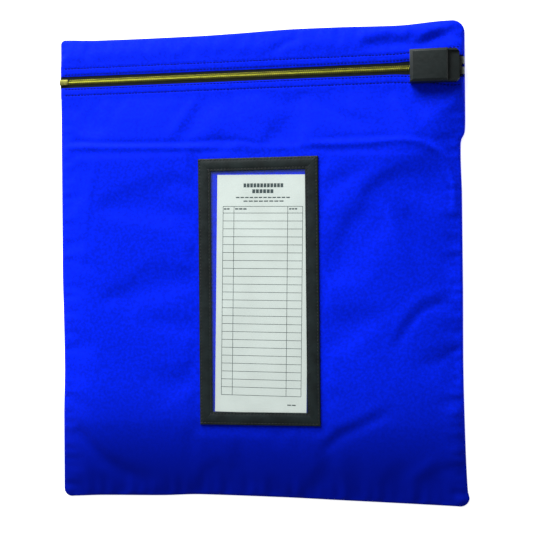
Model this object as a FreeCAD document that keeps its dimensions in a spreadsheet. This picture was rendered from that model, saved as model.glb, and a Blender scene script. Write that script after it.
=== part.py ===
import FreeCAD, Part
import os
import Sketcher

# A locking zippered deposit bag lying flat on its back, in millimetres.
# +X runs along the zipper towards its closed, locked end, +Y up the bag towards the zipper,
# +Z out of the front panel. The origin is under the middle of the bag, on the surface it lies on.

SIZES = {
    # cloth body
    "bag_width": "400",
    "bag_height": "460",
    "cloth": "0.8",
    "corner_size": "9",
    "plateau_half": "145",     # the front panel is level this far each side of the middle
    "shoulder_half": "188",    # and rolls down to the side seam from here
    "belly_top": "14",         # top of the level part of the front panel
    "belly_low": "-185",       # the level part starts and ends at these places up the bag
    "belly_high": "120",
    "band_low": "165",         # from here to the zipper the panel lies level with the tape
    "toe_rise": "12",          # the panel climbs off the bottom seam over this distance
    "seam_top": "3.4",         # front panel's height over the side seam
    "shoulder_top": "8",
    "foot_seam": "2.4",        # the same three heights over the bottom seam
    "foot_shoulder": "2.8",
    "foot_top": "3.2",
    "toe_seam": "3",           # and where the panel has climbed off it
    "toe_shoulder": "5.5",
    "toe_top": "8.5",
    "overshoot": "1",          # how far a cutting sketch runs past the faces it opens
    "binding_width": "8",
    "binding_thick": "1.1",
    "binding_trim": "3",       # the bottom binding stops this far short of the shoulders
    "seam_clear": "0.2",
    # zipper
    "zip_line": "184.5",       # the chain's centre line up the bag
    "zip_level": "6.5",        # middle of the tape's thickness above the resting surface
    "tape_thick": "0.8",
    "tape_reach": "16",
    "tape_slit": "1.3",        # half the gap between the two tapes
    "tape_end_left": "-199",
    "tape_end_right": "197.6",
    "cloth_setback": "5.2",    # half the width of tape that shows between the two cloth edges
    "tooth_pitch": "2",
    "tooth_thick": "0.85",
    "tooth_half_height": "1.35",
    "tooth_root": "2.7",
    "tooth_head": "0.85",
    "tooth_slot_half": "0.45",
    "tooth_bevel": "0.3",
    "tooth_shoulder": "2.2",   # the tooth's thick part lies between these two distances
    "tooth_neck": "0.3",
    "tooth_nose": "0.45",
    "chain_first": "-189",     # centre of the first lower tooth, by the bottom stop
    "stop_left": "-199",
    "stop_length": "8.8",
    "top_stop_gap": "0.6",
    "top_stop_inner": "0.4",
    "top_stop_length": "2.4",
    "mouth_half": "135",       # the zipper's mouth opens this far each side of the middle
    "split_gap": "0.1",
    # header strip between the zipper and the fold along the top of the bag
    "fold_line": "229.6",
    "header_flat": "18.5",     # the strip leaves the tape's level this far above the chain
    "header_roll": "0.2",
    "fold_outer": "2.1",       # the strip turns down towards the fold from here, outside
    "fold_outer_level": "3.2",
    "fold_inner": "2.6",       # and from here, inside
    "fold_inner_level": "2.5",
    "fold_top": "1.9",
    "fold_under": "1",
    "fold_lip": "0.9",
    "stitch_near": "6.7",
    "stitch_far": "12.9",
    "stitch_wide": "0.4",
    "stitch_high": "0.2",
    "stitch_reach": "189",
    "stitch_inset": "2",       # the window's two rows run this far inside the trim's edges
    # slider
    "slider_left": "152",
    "slider_length": "17",
    "slider_half": "4.9",
    "channel_half": "1.5",
    "slider_plate": "1.2",
    "flange_inset": "3.4",
    "flange_gap_half": "0.6",
    "wedge_left": "163.6",
    "wedge_length": "4.8",
    "wedge_half": "1",
    "lug_left": "157",
    "lug_length": "6",
    "lug_half": "1.6",
    "lug_top": "12.7",
    "pin_level": "11.2",
    "pin_radius": "1",
    "pin_half": "14.5",
    # lock housing carried by the slider
    "lock_left": "148.5",
    "lock_length": "46",
    "lock_half": "15.2",
    "lock_bottom": "8.4",
    "lock_top": "20.6",
    "lock_nose": "3",          # how far the two far corners are cut back along the housing
    "lock_nose_half": "12.6",
    "lock_bevel": "1.2",
    "lock_wall": "1.5",
    "nose_wall": "1",
    "step_left": "183.5",      # the face where the high block drops to the low deck
    "deck_level": "14.2",
    "rim_level": "16.4",
    "rim_wide": "2",
    "cavity_top": "12.8",
    "base_thick": "1.5",
    "seal_half": "9",
    "seal_depth": "22",
    "seal_low": "14.2",
    "seal_high": "19",
    "rivet_radius": "1.2",
    "rivet_near": "154",
    "rivet_far": "186",
    "rivet_side": "11",
    "boss_radius": "2.4",
    "boss_root": "0.2",        # how far the bosses run up into the roof of the cavity
    "rivet_head": "0.8",       # how much wider than its shank a rivet's head is
    "rivet_head_thick": "0.4",
    "fit_gap": "0.05",
    "loose_gap": "0.3",        # clearance where one piece passes through another
    # stamped hasp fixed to the end of the tape
    "hasp_left": "176",
    "hasp_level": "10.2",
    "hasp_thick": "1.2",
    "hasp_half": "5",
    "claw_left": "194.9",
    "claw_right": "199",
    "claw_grip": "191.5",
    "claw_half": "8",
    "claw_slit": "1.7",
    "claw_bottom": "5",
    "claw_lift": "1",          # gap above the tape before the claw turns in
    "eye_left": "178.5",
    "eye_length": "5",
    "eye_half": "2.5",
    # card window
    "window_middle": "2.5",
    "window_width": "117.4",
    "window_low": "-154.2",
    "window_height": "257.4",
    "trim_width": "12.7",
    "trim_thick": "2",
    "trim_lip": "0.6",
    "trim_tuck": "8.7",        # how far the pane and the card reach under the trim
    "pane_thick": "0.4",
    "card_gap": "0.6",
    "card_lift": "0.1",
    "card_width": "88.9",
    "card_height": "228.6",
    "card_thick": "0.3",
    "card_middle": "5.3",
    "card_up": "-27.8",
    "card_turn": "-1.1",
}

doc = FreeCAD.newDocument("deposit_bag")
sheet = doc.addObject("Spreadsheet::Sheet", "dims")
for row, (alias, number) in enumerate(SIZES.items(), start=1):
    sheet.set(f"A{row}", alias)
    sheet.set(f"B{row}", number)
    sheet.setAlias(f"B{row}", alias)
doc.recompute()

sub_parts = []


def bound(text):
    """A sheet expression from one whose names are bare aliases, such as 'zip_line + cloth'."""
    words = text.replace("(", "( ").replace(")", " )").split()
    return " ".join(f"dims.{word}" if word in SIZES else word for word in words)


def new_body(label, several_solids=False):
    body = doc.addObject("PartDesign::Body", label)
    body.Label = label
    body.AllowCompound = several_solids
    sub_parts.append(body)
    return body


def new_sketch(body, plane, offset="0"):
    """A sketch on one of the body's own origin planes, moved along the plane's normal."""
    sketch = body.newObject("Sketcher::SketchObject", "sketch")
    support = next(f for f in body.Origin.OriginFeatures if f.Role == plane)
    sketch.AttachmentSupport = [(support, "")]
    sketch.MapMode = "FlatFace"
    sketch.setExpression("AttachmentOffset.Base.z", bound(offset))
    return sketch


def add_outline(sketch, points):
    """A closed outline of straight edges, each corner held by two bound distances."""
    first = sketch.GeometryCount
    count = len(points)
    for n in range(count):
        start = FreeCAD.Vector(n, n * n, 0)
        end = FreeCAD.Vector((n + 1) % count, ((n + 1) % count) ** 2, 0)
        sketch.addGeometry(Part.LineSegment(start, end))
    for n in range(count):
        following = first + (n + 1) % count
        sketch.addConstraint(Sketcher.Constraint("Coincident", first + n, 2, following, 1))
    for n, corner in enumerate(points):
        for kind, place in zip(("DistanceX", "DistanceY"), corner):
            held = Sketcher.Constraint(kind, -1, 1, first + n, 1, 1.0)
            sketch.setExpression(f"Constraints[{sketch.addConstraint(held)}]", bound(place))


def add_rectangle(sketch, left, right, low, high):
    add_outline(sketch, [(left, low), (right, low), (right, high), (left, high)])


def add_circle(sketch, across, up, radius):
    circle = Part.Circle(FreeCAD.Vector(1, 1, 0), FreeCAD.Vector(0, 0, 1), 1)
    index = sketch.addGeometry(circle)
    for kind, place in (("DistanceX", across), ("DistanceY", up)):
        held = sketch.addConstraint(Sketcher.Constraint(kind, -1, 1, index, 3, 1.0))
        sketch.setExpression(f"Constraints[{held}]", bound(place))
    held = sketch.addConstraint(Sketcher.Constraint("Radius", index, 1.0))
    sketch.setExpression(f"Constraints[{held}]", bound(radius))


def extrude(body, sketch, length, kind="Pad"):
    """Pad or pocket a sketch along its plane's normal; a pocket is turned to cut the same way."""
    feature = body.newObject(f"PartDesign::{kind}", kind.lower())
    feature.Profile = sketch
    feature.Reversed = kind == "Pocket"
    feature.setExpression("Length", bound(length))
    return feature


def checked_pocket(body, sketch, length):
    """A pocket that is known to have removed material."""
    doc.recompute()
    before = body.Shape.Volume
    feature = extrude(body, sketch, length, "Pocket")
    doc.recompute()
    if not body.Shape.Volume < before:
        raise RuntimeError(f"a pocket in {body.Label} cut nothing")
    return feature


def slab(label, left, right, low, high, floor, thick):
    """A plain strip: a pad of one rectangle."""
    body = new_body(label)
    sketch = new_sketch(body, "XY_Plane", floor)
    add_rectangle(sketch, left, right, low, high)
    extrude(body, sketch, thick)
    return body


def section_points(half, rim, shoulder, top, inset, drop, foot):
    """The front panel's cross-section: side wall, rolled shoulder and level top."""
    right = [
        (f"{half} - {inset}", foot),
        (f"{half} - {inset}", f"{rim} - {drop}"),
        ("shoulder_half", f"{shoulder} - {drop}"),
        ("plateau_half", f"{top} - {drop}"),
    ]
    left = [(f"0 - ( {across} )", up) for across, up in reversed(right)]
    return right + left


def front_panel():
    """A shallow shell of cloth, open underneath and at the zipper, closed at both side seams."""
    body = new_body("front_panel")
    half = "bag_width / 2"
    low = "0 - bag_height / 2"
    level = "zip_level + tape_thick / 2 + cloth"
    edge = "zip_line - cloth_setback"
    stations = [
        (low, "foot_seam", "foot_shoulder", "foot_top"),
        (f"{low} + toe_rise", "toe_seam", "toe_shoulder", "toe_top"),
        ("belly_low", "seam_top", "shoulder_top", "belly_top"),
        ("belly_high", "seam_top", "shoulder_top", "belly_top"),
        ("band_low", level, level, level),
        (edge, level, level, level),
    ]
    for kind, inset, drop, foot, shift in (
        ("AdditiveLoft", "0", "0", "cloth", ("0", "0")),
        ("SubtractiveLoft", "cloth", "cloth", "0", ("cloth", "cloth")),
    ):
        sections = []
        for n, (place, rim, shoulder, top) in enumerate(stations):
            if n == 0:
                place = f"{place} + {shift[0]}"
            if n == len(stations) - 1:
                place = f"{place} + {shift[1]}"
            sketch = new_sketch(body, "XZ_Plane", f"0 - ( {place} )")
            add_outline(sketch, section_points(half, rim, shoulder, top, inset, drop, foot))
            sections.append(sketch)
        loft = body.newObject(f"PartDesign::{kind}", kind.lower())
        loft.Profile = sections[0]
        loft.Sections = sections[1:]
        loft.Ruled = True
    clear_hasp(body, "zip_line - claw_half - loose_gap", "zip_line - cloth_setback + overshoot")


def clear_hasp(body, low, high):
    """Cut the cloth back where the hasp's claws fold over the tape."""
    sketch = new_sketch(body, "XY_Plane", "cloth + tape_thick")
    add_rectangle(sketch, "claw_grip - loose_gap", "bag_width / 2 + overshoot", low, high)
    checked_pocket(body, sketch, "lock_top")


def back_panel():
    """The back cloth, flat on the surface, with its corners cut round the seam turns."""
    body = new_body("back_panel")
    sketch = new_sketch(body, "XY_Plane")
    side = "bag_width / 2"
    end = "bag_height / 2"
    corners = []
    for across, up in (("+", "+"), ("-", "+"), ("-", "-"), ("+", "-")):
        outer = (f"0 {across} {side}", f"0 {up} ( {end} - corner_size )")
        inner = (f"0 {across} ( {side} - corner_size )", f"0 {up} {end}")
        corners += [outer, inner] if across == up else [inner, outer]
    add_outline(sketch, corners)
    extrude(body, sketch, "cloth")


# The header strip's section across the bag, from the tape's edge up to the fold.
HEADER_TOP = "zip_level + tape_thick / 2 + cloth"
HEADER_SECTION = [
    ("zip_line + cloth_setback", "zip_level + tape_thick / 2"),
    ("zip_line + cloth_setback", HEADER_TOP),
    ("zip_line + header_flat + header_roll", HEADER_TOP),
    ("fold_line - fold_outer", "fold_outer_level"),
    ("fold_line", "fold_top"),
    ("fold_line", "fold_under"),
    ("fold_line - fold_lip", "fold_under"),
    ("fold_line - fold_inner", "fold_inner_level"),
    ("zip_line + header_flat - header_roll", "zip_level + tape_thick / 2"),
]
HEADER_END = [("zip_line + cloth_setback", "cloth")] + HEADER_SECTION[1:5] + [("fold_line", "cloth")]


def header(label, left, right, end_wall=None):
    """One stretch of the cloth strip above the zipper, with the side seam's wall if it has one."""
    body = new_body(label)
    strip = new_sketch(body, "YZ_Plane", left)
    add_outline(strip, HEADER_SECTION)
    extrude(body, strip, f"{right} - ( {left} )")
    if end_wall is not None:
        wall = new_sketch(body, "YZ_Plane", end_wall)
        add_outline(wall, HEADER_END)
        extrude(body, wall, "cloth")
    return body


def headers():
    split_left = "0 - mouth_half"
    header("header_left", "0 - bag_width / 2", f"{split_left} - split_gap", "0 - bag_width / 2")
    header("header_mid", f"{split_left} + split_gap", "mouth_half - split_gap")
    body = header("header_right", "mouth_half + split_gap", "bag_width / 2", "bag_width / 2 - cloth")
    clear_hasp(body, "zip_line + cloth_setback - overshoot", "zip_line + claw_half + loose_gap")


def seam_bindings():
    """Folded tape that covers the raw edges of the seams, inside the bag."""
    inside = "bag_width / 2 - cloth - seam_clear"
    foot = "0 - bag_height / 2 + cloth + seam_clear"
    low = "0 - bag_height / 2 + toe_rise + cloth + seam_clear"
    high = "bag_height / 2 - cloth - binding_width"
    slab("side_seam_binding_left", f"0 - ( {inside} )", f"0 - ( {inside} - binding_width )",
         low, high, "cloth", "binding_thick")
    slab("side_seam_binding_right", f"{inside} - binding_width", inside,
         low, high, "cloth", "binding_thick")
    slab("bottom_seam_binding", "binding_trim - shoulder_half", "shoulder_half - binding_trim",
         foot, f"{foot} + binding_width", "cloth", "binding_thick")


# The three stretches of everything above the chain: only the middle one lifts as the zipper opens.
STRETCHES = {
    "left": ("tape_end_left", "0 - mouth_half - split_gap"),
    "mid": ("0 - mouth_half + split_gap", "mouth_half - split_gap"),
    "right": ("mouth_half + split_gap", "tape_end_right"),
}


def zipper_tapes():
    floor = "zip_level - tape_thick / 2"
    slab("zipper_tape_lower", "tape_end_left", "tape_end_right",
         "zip_line - tape_reach", "zip_line - tape_slit", floor, "tape_thick")
    for name, (left, right) in STRETCHES.items():
        slab(f"zipper_tape_upper_{name}", left, right,
             "zip_line + tape_slit", "zip_line + tape_reach", floor, "tape_thick")


def tooth_row(label, first, count, side):
    """Brass teeth clenched on a tape's edge: side is '-' below the chain's centre, '+' above it."""
    body = new_body(label, several_solids=True)
    sketch = new_sketch(body, "YZ_Plane", f"{first} - tooth_thick / 2")
    profile = [
        ("tooth_root", "0 - tooth_half_height + tooth_bevel"),
        ("tooth_shoulder", "0 - tooth_half_height"),
        ("tooth_neck", "0 - tooth_half_height"),
        ("0 - tooth_head", "0 - tooth_half_height + tooth_nose"),
        ("0 - tooth_head", "tooth_half_height - tooth_nose"),
        ("tooth_neck", "tooth_half_height"),
        ("tooth_shoulder", "tooth_half_height"),
        ("tooth_root", "tooth_half_height - tooth_bevel"),
        ("tooth_root", "tooth_slot_half"),
        ("tape_slit - fit_gap", "tooth_slot_half"),
        ("tape_slit - fit_gap", "0 - tooth_slot_half"),
        ("tooth_root", "0 - tooth_slot_half"),
    ]
    placed = [(f"zip_line {side} ( {out} )", f"zip_level + {up}") for out, up in profile]
    add_outline(sketch, placed)
    tooth = extrude(body, sketch, "tooth_thick")
    row = body.newObject("PartDesign::LinearPattern", "row")
    row.Originals = [tooth]
    along = next(f for f in body.Origin.OriginFeatures if f.Role == "X_Axis")
    row.Direction = (along, [""])
    row.Occurrences = count
    row.setExpression("Length", bound(f"tooth_pitch * {count - 1}"))
    body.Tip = row


LOWER_TEETH = 177
UPPER_TEETH = {"left": 27, "mid": 135, "right": 14}


def zipper_teeth():
    """The lower teeth stand at odd millimetres along the bag and the upper ones between them."""
    tooth_row("zipper_teeth_lower", "chain_first", LOWER_TEETH, "-")
    done = 0
    for name, count in UPPER_TEETH.items():
        first = f"chain_first + tooth_pitch / 2 + tooth_pitch * {done}"
        tooth_row(f"zipper_teeth_upper_{name}", first, count, "+")
        done += count


def around_chain(points):
    return [(f"zip_line + {across}", f"zip_level + {up}") for across, up in points]


def zipper_stops():
    """The brass clip that ends the chain and the two small stops at the locked end."""
    body = new_body("zipper_end_stop")
    sketch = new_sketch(body, "YZ_Plane", "stop_left")
    quarter = [
        ("tooth_root", "channel_half"),
        ("tooth_root", "tooth_slot_half"),
        ("( tape_slit - fit_gap )", "tooth_slot_half"),
    ]
    outline = list(quarter)
    outline += [(a, f"0 - {b}") for a, b in reversed(quarter)]
    outline += [(f"0 - {a}", f"0 - {b}") for a, b in quarter]
    outline += [(f"0 - {a}", b) for a, b in reversed(quarter)]
    add_outline(sketch, around_chain(outline))
    extrude(body, sketch, "stop_length")

    body = new_body("zipper_top_stops", several_solids=True)
    sketch = new_sketch(body, "YZ_Plane", "slider_left + slider_length + top_stop_gap")
    for sign in ("0 -", "0 +"):
        clip = [
            (f"{sign} tooth_root", "0 - channel_half"),
            (f"{sign} top_stop_inner", "0 - channel_half"),
            (f"{sign} top_stop_inner", "channel_half"),
            (f"{sign} tooth_root", "channel_half"),
            (f"{sign} tooth_root", "tooth_slot_half"),
            (f"{sign} ( tape_slit - fit_gap )", "tooth_slot_half"),
            (f"{sign} ( tape_slit - fit_gap )", "0 - tooth_slot_half"),
            (f"{sign} tooth_root", "0 - tooth_slot_half"),
        ]
        add_outline(sketch, around_chain(clip))
    extrude(body, sketch, "top_stop_length")


def slider():
    """The slider: two plates with side flanges, joined by the wedge that parts the teeth."""
    body = new_body("zip_slider")
    right = "slider_left + slider_length"
    low_face = "zip_level - channel_half"
    high_face = "zip_level + channel_half"
    ends = ("zip_line - slider_half", "zip_line + slider_half")

    bottom = new_sketch(body, "XY_Plane", f"{low_face} - slider_plate")
    add_rectangle(bottom, "slider_left", right, *ends)
    extrude(body, bottom, "slider_plate")

    wedge = new_sketch(body, "XY_Plane", f"{low_face} - fit_gap")
    middle = "wedge_left + wedge_length / 2"
    add_outline(wedge, [
        ("wedge_left", "zip_line"),
        (middle, "zip_line - wedge_half"),
        ("wedge_left + wedge_length", "zip_line"),
        (middle, "zip_line + wedge_half"),
    ])
    extrude(body, wedge, "2 * ( channel_half + fit_gap )")

    top = new_sketch(body, "XY_Plane", high_face)
    add_rectangle(top, "slider_left", right, *ends)
    extrude(body, top, "slider_plate")

    for floor in (low_face, "zip_level + flange_gap_half"):
        flange = new_sketch(body, "XY_Plane", floor)
        for inner, outer in (("- flange_inset", "- slider_half"), ("+ flange_inset", "+ slider_half")):
            near, far = f"zip_line {inner}", f"zip_line {outer}"
            add_rectangle(flange, "slider_left", right, near, far)
        extrude(body, flange, "channel_half - flange_gap_half")

    lug = new_sketch(body, "XY_Plane", f"{high_face} + slider_plate / 2")
    lug_sides = ("zip_line - lug_half", "zip_line + lug_half")
    add_rectangle(lug, "lug_left", "lug_left + lug_length", *lug_sides)
    extrude(body, lug, f"lug_top - ( {high_face} + slider_plate / 2 )")

    hole = new_sketch(body, "XZ_Plane", "0 - ( zip_line + slider_half )")
    add_circle(hole, "lug_left + lug_length / 2", "pin_level", "pin_radius + fit_gap")
    checked_pocket(body, hole, "2 * slider_half")


def slider_pin():
    """The cross pin that ties the slider's lug to the housing's two side walls."""
    pin = doc.addObject("Part::Cylinder", "slider_pin")
    pin.Label = "slider_pin"
    pin.setExpression("Radius", bound("pin_radius"))
    pin.setExpression("Height", bound("2 * ( pin_half - fit_gap )"))
    pin.Placement.Rotation = FreeCAD.Rotation(FreeCAD.Vector(1, 0, 0), -90)
    pin.setExpression("Placement.Base.x", bound("lug_left + lug_length / 2"))
    pin.setExpression("Placement.Base.y", bound("zip_line - pin_half + fit_gap"))
    pin.setExpression("Placement.Base.z", bound("pin_level"))
    sub_parts.append(pin)


def nosed_outline(left, side, shoulder, right, nose_half):
    """A rectangle whose two far corners are cut back."""
    return [
        (left, f"zip_line - {side}"),
        (shoulder, f"zip_line - {side}"),
        (right, f"zip_line - {nose_half}"),
        (right, f"zip_line + {nose_half}"),
        (shoulder, f"zip_line + {side}"),
        (left, f"zip_line + {side}"),
    ]


LEVEL_TOLERANCE = 1e-4
RIVET_PLACES = [
    (x, f"zip_line {side} rivet_side") for x in ("rivet_near", "rivet_far") for side in ("-", "+")
]


def lock_cover():
    """The moulded housing: a high block with the seal's slot, a low deck and a hollow underside."""
    body = new_body("lock_cover")
    far = "lock_left + lock_length"
    outer = new_sketch(body, "XY_Plane", "lock_bottom")
    add_outline(outer, nosed_outline("lock_left", "lock_half", f"{far} - lock_nose", far, "lock_nose_half"))
    extrude(body, outer, "lock_top - lock_bottom")

    low_end = new_sketch(body, "XY_Plane", "rim_level")
    add_rectangle(low_end, "step_left", f"{far} + overshoot",
                  "zip_line - lock_half - overshoot", "zip_line + lock_half + overshoot")
    checked_pocket(body, low_end, "lock_top")

    deck = new_sketch(body, "XY_Plane", "deck_level")
    inside = "lock_half - rim_wide"
    add_rectangle(deck, "step_left", f"{far} + overshoot",
                  f"zip_line - ( {inside} )", f"zip_line + {inside}")
    checked_pocket(body, deck, "lock_top")

    cavity = new_sketch(body, "XY_Plane", "lock_bottom - overshoot")
    add_outline(cavity, nosed_outline(
        "lock_left + lock_wall", "( lock_half - lock_wall )", f"{far} - lock_nose - nose_wall",
        f"{far} - lock_wall", "lock_nose_half"))
    checked_pocket(body, cavity, "cavity_top - ( lock_bottom - overshoot )")

    bosses = new_sketch(body, "XY_Plane", "lock_bottom + base_thick")
    for x, y in RIVET_PLACES:
        add_circle(bosses, x, y, "boss_radius")
    extrude(body, bosses, "cavity_top + boss_root - ( lock_bottom + base_thick )")
    boss_holes = new_sketch(body, "XY_Plane", "lock_bottom + base_thick - overshoot")
    for x, y in RIVET_PLACES:
        add_circle(boss_holes, x, y, "rivet_radius + fit_gap")
    checked_pocket(body, boss_holes, "cavity_top - ( lock_bottom + base_thick - overshoot )")

    seal = new_sketch(body, "YZ_Plane", "step_left - seal_depth")
    add_rectangle(seal, "zip_line - seal_half", "zip_line + seal_half", "seal_low", "seal_high")
    checked_pocket(body, seal, "seal_depth + overshoot")

    catch = new_sketch(body, "XY_Plane", "cavity_top - overshoot")
    add_rectangle(catch, "eye_left", "step_left - lock_wall / 3",
                  "zip_line - eye_half", "zip_line + eye_half")
    checked_pocket(body, catch, "seal_low + overshoot - ( cavity_top - overshoot )")

    hasp_slot = new_sketch(body, "YZ_Plane", f"{far} - lock_wall - overshoot")
    add_rectangle(hasp_slot, "zip_line - hasp_half - loose_gap", "zip_line + hasp_half + loose_gap",
                  "lock_bottom + base_thick", "hasp_level + hasp_thick + loose_gap")
    checked_pocket(body, hasp_slot, "lock_wall + 2 * overshoot")

    pin_holes = new_sketch(body, "XZ_Plane", "0 - ( zip_line + pin_half )")
    add_circle(pin_holes, "lug_left + lug_length / 2", "pin_level", "pin_radius + fit_gap")
    checked_pocket(body, pin_holes, "2 * pin_half")

    top = float(SIZES["lock_top"])
    edges = []
    for number, edge in enumerate(body.Shape.Edges, start=1):
        if max(abs(edge.BoundBox.ZMin - top), abs(edge.BoundBox.ZMax - top)) < LEVEL_TOLERANCE:
            edges.append(f"Edge{number}")
    block = body.Tip
    bevel = body.newObject("PartDesign::Chamfer", "bevel")
    bevel.Base = (block, edges)
    bevel.setExpression("Size", bound("lock_bevel"))
    body.Tip = bevel


def lock_base():
    """The plate that closes the housing from below, with a window for the slider's top plate."""
    body = new_body("lock_base")
    far = "lock_left + lock_length"
    plate = new_sketch(body, "XY_Plane", "lock_bottom")
    add_outline(plate, nosed_outline(
        "lock_left + lock_wall + 2 * fit_gap", "( lock_half - lock_wall - 2 * fit_gap )",
        f"{far} - lock_nose - nose_wall - 2 * fit_gap", f"{far} - lock_wall - 2 * fit_gap",
        "( lock_nose_half - 4 * fit_gap )"))
    extrude(body, plate, "base_thick")
    window = new_sketch(body, "XY_Plane", "lock_bottom - overshoot")
    add_rectangle(window, "slider_left - loose_gap", "slider_left + slider_length + loose_gap",
                  "zip_line - slider_half - loose_gap", "zip_line + slider_half + loose_gap")
    checked_pocket(body, window, "base_thick + 2 * overshoot")
    holes = new_sketch(body, "XY_Plane", "lock_bottom - overshoot")
    for x, y in RIVET_PLACES:
        add_circle(holes, x, y, "rivet_radius + fit_gap")
    checked_pocket(body, holes, "base_thick + 2 * overshoot")


def lock_rivets():
    """Four rivets from under the base plate into the housing's bosses."""
    body = new_body("lock_rivets", several_solids=True)
    heads = new_sketch(body, "XY_Plane", "lock_bottom - rivet_head_thick")
    shanks = new_sketch(body, "XY_Plane", "lock_bottom - rivet_head_thick / 2")
    for x, y in RIVET_PLACES:
        add_circle(heads, x, y, "rivet_radius + rivet_head")
        add_circle(shanks, x, y, "rivet_radius")
    extrude(body, heads, "rivet_head_thick")
    extrude(body, shanks, "cavity_top - ( lock_bottom + rivet_head_thick )")


def end_hasp():
    """A stamped steel tongue with an eye for the seal, whose two claws fold over the tape's end."""
    body = new_body("end_hasp")
    tongue = new_sketch(body, "XY_Plane", "hasp_level")
    add_rectangle(tongue, "hasp_left", "claw_left + hasp_thick",
                  "zip_line - hasp_half", "zip_line + hasp_half")
    extrude(body, tongue, "hasp_thick")
    under = "zip_level - tape_thick / 2 - fit_gap"
    over = "zip_level + tape_thick / 2 + fit_gap"
    inner = "claw_right - hasp_thick"
    plate_top = "hasp_level + hasp_thick"
    profile = [
        ("claw_left", plate_top),
        ("claw_right", plate_top),
        ("claw_right", "claw_bottom"),
        ("claw_grip", "claw_bottom"),
        ("claw_grip", under),
        (inner, under),
        (inner, over),
        ("claw_grip", over),
        ("claw_grip", f"{over} + claw_lift"),
        (inner, f"{over} + claw_lift"),
        (inner, "hasp_level"),
        ("claw_left", "hasp_level"),
    ]
    for high_side in ("zip_line - claw_slit", "zip_line + claw_half"):
        claw = new_sketch(body, "XZ_Plane", f"0 - ( {high_side} )")
        add_outline(claw, profile)
        extrude(body, claw, "claw_half - claw_slit")
    eye = new_sketch(body, "XY_Plane", "hasp_level - overshoot")
    add_rectangle(eye, "eye_left", "eye_left + eye_length", "zip_line - eye_half", "zip_line + eye_half")
    checked_pocket(body, eye, "hasp_thick + 2 * overshoot")


WINDOW_LEFT = "window_middle - window_width / 2"
WINDOW_RIGHT = "window_middle + window_width / 2"
WINDOW_HIGH = "window_low + window_height"
TUCK_IN = "trim_width - trim_tuck"


def window_trims():
    """Four mitred strips of black binding that hold the pane; the top one leaves the card's slot."""
    outer = [
        (WINDOW_LEFT, "window_low"),
        (WINDOW_RIGHT, "window_low"),
        (WINDOW_RIGHT, WINDOW_HIGH),
        (WINDOW_LEFT, WINDOW_HIGH),
    ]
    inward = [("+", "+"), ("-", "+"), ("-", "-"), ("+", "-")]
    inner = [
        (f"{x} {sx} trim_width", f"{y} {sy} trim_width")
        for (x, y), (sx, sy) in zip(outer, inward)
    ]
    for n, name in enumerate(("bottom", "right", "top", "left")):
        other = (n + 1) % len(outer)
        body = new_body(f"window_trim_{name}")
        strip = new_sketch(body, "XY_Plane", "belly_top")
        add_outline(strip, [outer[n], outer[other], inner[other], inner[n]])
        extrude(body, strip, "trim_thick")
        if name == "top":
            slot = new_sketch(body, "XY_Plane", "belly_top - overshoot")
            add_rectangle(slot, f"{WINDOW_LEFT} - overshoot", f"{WINDOW_RIGHT} + overshoot",
                          f"{WINDOW_HIGH} - trim_width - overshoot", f"{WINDOW_HIGH} + overshoot")
            checked_pocket(body, slot, "overshoot + card_gap")
        tuck = new_sketch(body, "XY_Plane", "belly_top - overshoot")
        add_rectangle(tuck, f"{WINDOW_LEFT} + {TUCK_IN}", f"{WINDOW_RIGHT} - ( {TUCK_IN} )",
                      f"window_low + {TUCK_IN}", f"{WINDOW_HIGH} - ( {TUCK_IN} )")
        checked_pocket(body, tuck, "overshoot + trim_thick - trim_lip")


def window_pane():
    slab("window_pane",
         f"{WINDOW_LEFT} + {TUCK_IN} + fit_gap", f"{WINDOW_RIGHT} - ( {TUCK_IN} ) - fit_gap",
         f"window_low + {TUCK_IN} + fit_gap", f"{WINDOW_HIGH} - ( {TUCK_IN} ) - fit_gap",
         "belly_top + trim_thick - trim_lip - pane_thick", "pane_thick")


def card():
    """The record card, lying a little askew in the window's pocket."""
    body = slab("card", "0 - card_width / 2", "card_width / 2",
                "0 - card_height / 2", "card_height / 2", "0", "card_thick")
    body.setExpression("Placement.Base.x", bound("card_middle"))
    body.setExpression("Placement.Base.y", bound("card_up"))
    body.setExpression("Placement.Base.z", bound("belly_top + card_lift"))
    body.setExpression("Placement.Rotation.Angle", bound("card_turn"))


def stitch_rows(label, left, right, side):
    """Two rows of thread beside the zipper, as two thin strips on the cloth."""
    body = new_body(label, several_solids=True)
    sketch = new_sketch(body, "XY_Plane", "zip_level + tape_thick / 2 + cloth")
    for away in ("stitch_near", "stitch_far"):
        middle = f"zip_line {side} {away}"
        add_rectangle(sketch, left, right, f"{middle} - stitch_wide / 2", f"{middle} + stitch_wide / 2")
    extrude(body, sketch, "stitch_high")


def stitching():
    stitch_rows("stitching_zipper_lower", "0 - stitch_reach", "stitch_reach", "-")
    for name, (left, right) in STRETCHES.items():
        left = "0 - stitch_reach" if name == "left" else left
        right = "stitch_reach" if name == "right" else right
        stitch_rows(f"stitching_zipper_upper_{name}", left, right, "+")
    body = new_body("stitching_window", several_solids=True)
    sketch = new_sketch(body, "XY_Plane", "belly_top + trim_thick")
    for inset in ("stitch_inset", "trim_width - stitch_inset"):
        for extra in ("0 - stitch_wide / 2", "stitch_wide / 2"):
            edge = f"( {inset} + {extra} )"
            add_rectangle(sketch, f"{WINDOW_LEFT} + {edge}", f"{WINDOW_RIGHT} - {edge}",
                          f"window_low + {edge}", f"{WINDOW_HIGH} - {edge}")
    extrude(body, sketch, "stitch_high")


back_panel()
front_panel()
headers()
seam_bindings()
zipper_tapes()
zipper_teeth()
zipper_stops()
slider()
slider_pin()
lock_cover()
lock_base()
lock_rivets()
end_hasp()
window_trims()
window_pane()
card()
stitching()

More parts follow.
